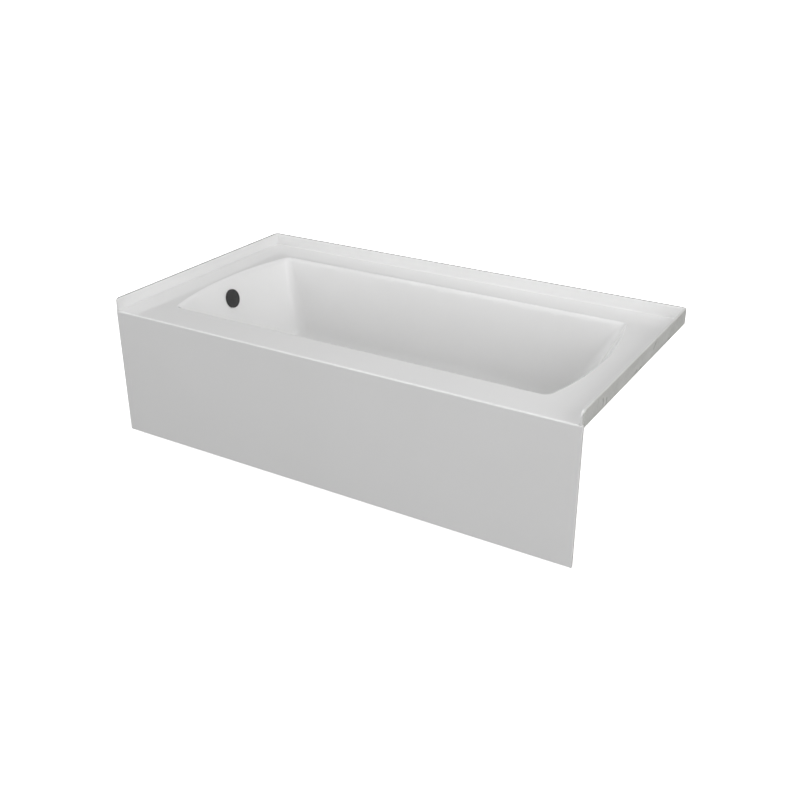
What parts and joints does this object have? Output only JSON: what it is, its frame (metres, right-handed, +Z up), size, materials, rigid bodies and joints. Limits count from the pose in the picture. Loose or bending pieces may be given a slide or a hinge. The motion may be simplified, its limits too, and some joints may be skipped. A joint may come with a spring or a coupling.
{
  "type": "alcove bathtub",
  "caption": "Rectangular alcove bathtub with flat front apron, upstand tile flange on three sides, sloped oval-ended basin, pop-up waste and overflow, on adjustable feet.",
  "frame": {"origin": "on the floor, under the middle of the tub's outline", "axes": "+X along the length to the right, seen from the apron; -Y is the apron side; +Z up"},
  "size_m": [1.524, 0.8128, 0.4445],
  "materials": {
    "acrylic_white": "glossy white acrylic sheet",
    "laminate": "glass-fibre laminate, rough outside",
    "softwood": "sawn softwood",
    "plywood": "sanded plywood",
    "galvanised": "zinc-plated steel",
    "foot_plastic": "black moulded foot",
    "trim_black": "matte black trim",
    "brass": "plain turned brass",
    "rubber_black": "black rubber",
    "spring_steel": "bright spring wire",
    "pipe_white": "white waste pipe",
    "nut_white": "white moulded slip nut"
  },
  "bodies": {
    "tub": {"basin_shell": "acrylic_white", "laminate_backing": "laminate", "apron_panel": "acrylic_white", "apron_laminate": "laminate", "apron_top_rail": "softwood", "apron_bottom_rail": "softwood", "apron_post_left": "softwood", "apron_post_middle": "softwood", "apron_post_right": "softwood", "rim_batten_back": "softwood", "rim_batten_left": "softwood", "rim_batten_right": "softwood", "base_board": "plywood", "cross_rail_left": "galvanised", "cross_rail_right": "galvanised", "rail_screws": "galvanised", "foot_lock_nuts": "galvanised", "drain_body": "trim_black", "stopper_cartridge": "brass", "stopper_spring": "spring_steel", "drain_gasket": "rubber_black", "drain_shoe": "pipe_white", "shoe_slip_nut": "nut_white", "shoe_washer": "rubber_black", "waste_tube": "pipe_white", "waste_tee": "pipe_white", "tee_side_slip_nut": "nut_white", "tee_side_washer": "rubber_black", "tee_top_slip_nut": "nut_white", "tee_top_washer": "rubber_black", "overflow_tube": "pipe_white", "overflow_elbow": "pipe_white", "overflow_gasket": "rubber_black", "overflow_screws": "trim_black", "overflow_cover": "trim_black"},
    "stopper": {"stopper_cap": "trim_black", "stopper_seal": "rubber_black"},
    "foot_front_left": {"foot_stud_front_left": "galvanised", "foot_pad_front_left": "foot_plastic"},
    "foot_front_right": {"foot_stud_front_right": "galvanised", "foot_pad_front_right": "foot_plastic"},
    "foot_back_left": {"foot_stud_back_left": "galvanised", "foot_pad_back_left": "foot_plastic"},
    "foot_back_right": {"foot_stud_back_right": "galvanised", "foot_pad_back_right": "foot_plastic"}
  },
  "joints": [
    {"name": "foot_front_left_adjust", "type": "slide", "parent": "tub", "child": "foot_front_left", "axis": [0, 0, 1], "range_m": [-0.012, 0.003]},
    {"name": "foot_front_right_adjust", "type": "slide", "parent": "tub", "child": "foot_front_right", "axis": [0, 0, 1], "range_m": [-0.012, 0.003]},
    {"name": "foot_back_left_adjust", "type": "slide", "parent": "tub", "child": "foot_back_left", "axis": [0, 0, 1], "range_m": [-0.012, 0.003]},
    {"name": "foot_back_right_adjust", "type": "slide", "parent": "tub", "child": "foot_back_right", "axis": [0, 0, 1], "range_m": [-0.012, 0.003]},
    {"name": "stopper_lift", "type": "slide", "parent": "tub", "child": "stopper", "axis": [0, 0, 1], "range_m": [0, 0.009]}
  ]
}
